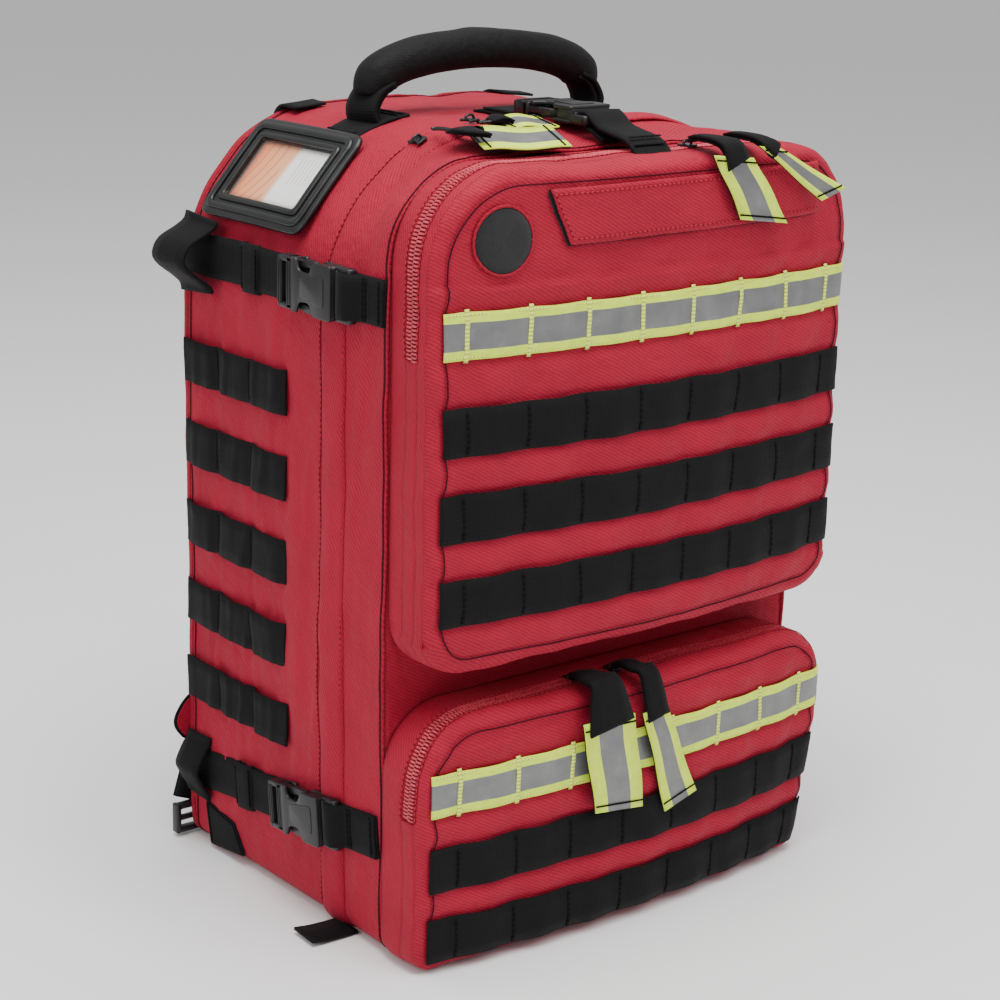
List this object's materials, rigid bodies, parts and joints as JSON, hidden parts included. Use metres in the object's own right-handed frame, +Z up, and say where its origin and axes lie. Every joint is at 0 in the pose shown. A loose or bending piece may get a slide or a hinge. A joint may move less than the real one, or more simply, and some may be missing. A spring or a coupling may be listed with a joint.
{
  "type": "trauma backpack",
  "caption": "Zip-open emergency backpack with two front pockets, webbing grid, reflective bands, side-release straps, carry handle and shoulder straps.",
  "frame": {"origin": "on the ground, under the middle of the pack's overall box", "axes": "+Z up; the pocket fronts face -Y, the wearer's back is at +Y; +X is to the right seen from the front"},
  "size_m": [0.372, 0.3079, 0.507],
  "materials": {
    "red_fabric": "woven",
    "black_fabric": "woven",
    "air_mesh": "mesh",
    "black_webbing": "woven",
    "hook_loop": "pile",
    "zip_coil": "satin",
    "reflective_tape": "retroreflective",
    "pull_tag": "fluorescent tape",
    "slider_metal": "satin",
    "black_plastic": "satin",
    "stiffener": "matte",
    "pvc_frame": "satin",
    "clear_film": "clear",
    "card": "printed"
  },
  "bodies": {
    "pack": {"back_pads": "air_mesh", "back_panel": "black_fabric", "base_board": "stiffener", "compression_straps": "black_webbing", "corner_tabs": "black_webbing", "frame_sheet": "stiffener", "handle_anchors": "black_webbing", "hip_fins": "red_fabric", "id_frame": "pvc_frame", "id_window": "clear_film", "inner_mesh_pocket": "air_mesh", "ladder_locks": "black_plastic", "lash_loops": "black_webbing", "main_gusset": "red_fabric", "main_zip_tape_rear": "zip_coil", "shoulder_strap_left": "black_fabric", "shoulder_strap_right": "black_fabric", "side_webbing": "black_webbing", "sternum_female": "black_plastic", "sternum_strap": "black_webbing", "strap_webbing": "black_webbing", "top_strap_rear": "black_webbing"},
    "lid": {"lid_gusset": "red_fabric", "lid_panel": "red_fabric", "lid_mesh_pocket": "air_mesh", "main_zip_tape_lid": "zip_coil", "upper_pocket_body": "red_fabric", "lower_pocket_body": "red_fabric", "buckle_females": "black_plastic", "buckle_female_top": "black_plastic", "lid_strap_stubs": "black_webbing", "top_strap_front": "black_webbing", "front_webbing": "black_webbing"},
    "upper_flap": {"upper_pocket_flap": "red_fabric", "upper_reflective_strip": "reflective_tape", "loop_fields": "hook_loop", "name_panel": "red_fabric"},
    "lower_flap": {"lower_pocket_flap": "red_fabric", "lower_reflective_strip": "reflective_tape"},
    "handle": {"handle_grip": "black_fabric", "handle_webbing": "black_webbing"},
    "id_card": {"id_card": "card"},
    "sternum_male": {"sternum_male": "black_plastic"},
    "buckle_male_lower_left": {"buckle_male_lower_left": "black_plastic"},
    "buckle_male_lower_right": {"buckle_male_lower_right": "black_plastic"},
    "buckle_male_top": {"buckle_male_top": "black_plastic"},
    "buckle_male_upper_left": {"buckle_male_upper_left": "black_plastic"},
    "buckle_male_upper_right": {"buckle_male_upper_right": "black_plastic"},
    "lower_pull_tag_left": {"lower_pull_tag_left": "pull_tag"},
    "lower_pull_tag_right": {"lower_pull_tag_right": "pull_tag"},
    "lower_slider_left": {"lower_slider_left": "slider_metal"},
    "lower_slider_right": {"lower_slider_right": "slider_metal"},
    "main_pull_tag_inner": {"main_pull_tag_inner": "pull_tag"},
    "main_pull_tag_outer": {"main_pull_tag_outer": "pull_tag"},
    "main_slider_inner": {"main_slider_inner": "slider_metal"},
    "main_slider_outer": {"main_slider_outer": "slider_metal"},
    "upper_pull_tag_left": {"upper_pull_tag_left": "pull_tag"},
    "upper_pull_tag_right": {"upper_pull_tag_right": "pull_tag"},
    "upper_slider_left": {"upper_slider_left": "slider_metal"},
    "upper_slider_right": {"upper_slider_right": "slider_metal"}
  },
  "joints": [
    {"name": "lid_hinge", "type": "hinge", "parent": "pack", "child": "lid", "pos_m": [0, -0.048, 0], "axis": [1, 0, 0], "range_deg": [0, 90]},
    {"name": "upper_flap_hinge", "type": "hinge", "parent": "lid", "child": "upper_flap", "pos_m": [0, -0.1461, 0.347], "axis": [1, 0, 0], "range_deg": [0, 90]},
    {"name": "lower_flap_hinge", "type": "hinge", "parent": "lid", "child": "lower_flap", "pos_m": [0, -0.1461, 0.092], "axis": [1, 0, 0], "range_deg": [0, 80]},
    {"name": "handle_tilt", "type": "hinge", "parent": "pack", "child": "handle", "pos_m": [0, 0.025, 0.4648], "axis": [1, 0, 0], "range_deg": [-40, 40]},
    {"name": "upper_buckle_release_left", "type": "slide", "parent": "pack", "child": "buckle_male_upper_left", "axis": [0, 1, 0], "range_m": [0, 0.027]},
    {"name": "lower_buckle_release_left", "type": "slide", "parent": "pack", "child": "buckle_male_lower_left", "axis": [0, 0.9945, -0.1045], "range_m": [0, 0.027]},
    {"name": "upper_buckle_release_right", "type": "slide", "parent": "pack", "child": "buckle_male_upper_right", "axis": [0, 1, 0], "range_m": [0, 0.027]},
    {"name": "lower_buckle_release_right", "type": "slide", "parent": "pack", "child": "buckle_male_lower_right", "axis": [0, 0.9945, -0.1045], "range_m": [0, 0.027]},
    {"name": "top_buckle_release", "type": "slide", "parent": "pack", "child": "buckle_male_top", "axis": [0, 1, 0], "range_m": [0, 0.027]},
    {"name": "sternum_buckle_release", "type": "slide", "parent": "pack", "child": "sternum_male", "axis": [-1, 0, 0], "range_m": [0, 0.027]},
    {"name": "id_card_slide", "type": "slide", "parent": "pack", "child": "id_card", "axis": [0, 1, 0], "range_m": [0, 0.06]},
    {"name": "main_slider_outer_run", "type": "hinge", "parent": "lid", "child": "main_slider_outer", "pos_m": [-0.057, -0.048, 0.359], "axis": [0, -1, 0], "range_deg": [0, 38]},
    {"name": "main_slider_inner_run", "type": "hinge", "parent": "lid", "child": "main_slider_inner", "pos_m": [-0.057, -0.048, 0.359], "axis": [0, -1, 0], "range_deg": [0, 10]},
    {"name": "main_pull_tag_outer_swing", "type": "hinge", "parent": "main_slider_outer", "child": "main_pull_tag_outer", "pos_m": [-0.09499, -0.056, 0.4572], "axis": [-0.342, -0.9397, 0], "range_deg": [0, 120]},
    {"name": "main_pull_tag_inner_swing", "type": "hinge", "parent": "main_slider_inner", "child": "main_pull_tag_inner", "pos_m": [-0.06077, -0.054, 0.4594], "axis": [-0.1736, -0.9848, 0], "range_deg": [0, 120]},
    {"name": "upper_slider_left_run", "type": "slide", "parent": "upper_flap", "child": "upper_slider_left", "axis": [-1, 0, 0], "range_m": [0, 0.008]},
    {"name": "upper_slider_right_run", "type": "slide", "parent": "upper_flap", "child": "upper_slider_right", "axis": [1, 0, 0], "range_m": [0, 0.03]},
    {"name": "lower_slider_left_run", "type": "slide", "parent": "lower_flap", "child": "lower_slider_left", "axis": [-1, 0, 0], "range_m": [0, 0.055]},
    {"name": "lower_slider_right_run", "type": "slide", "parent": "lower_flap", "child": "lower_slider_right", "axis": [1, 0, 0], "range_m": [0, 0.11]},
    {"name": "upper_pull_tag_left_swing", "type": "hinge", "parent": "upper_slider_left", "child": "upper_pull_tag_left", "pos_m": [0.036, -0.123, 0.4495], "axis": [-1, 0, 0], "range_deg": [0, 100]},
    {"name": "upper_pull_tag_right_swing", "type": "hinge", "parent": "upper_slider_right", "child": "upper_pull_tag_right", "pos_m": [0.063, -0.123, 0.4495], "axis": [-1, 0, 0], "range_deg": [0, 100]},
    {"name": "lower_pull_tag_left_swing", "type": "hinge", "parent": "lower_slider_left", "child": "lower_pull_tag_left", "pos_m": [-0.042, -0.13, 0.1515], "axis": [-1, 0, 0], "range_deg": [0, 100]},
    {"name": "lower_pull_tag_right_swing", "type": "hinge", "parent": "lower_slider_right", "child": "lower_pull_tag_right", "pos_m": [-0.01, -0.13, 0.1515], "axis": [-1, 0, 0], "range_deg": [0, 100]}
  ],
  "couplings": [
    {"joint": "lower_pull_tag_left_swing", "follows": "lower_flap_hinge", "ratio": 1},
    {"joint": "lower_pull_tag_right_swing", "follows": "lower_flap_hinge", "ratio": 1},
    {"joint": "main_pull_tag_outer_swing", "follows": "main_slider_outer_run", "ratio": 0.7}
  ]
}
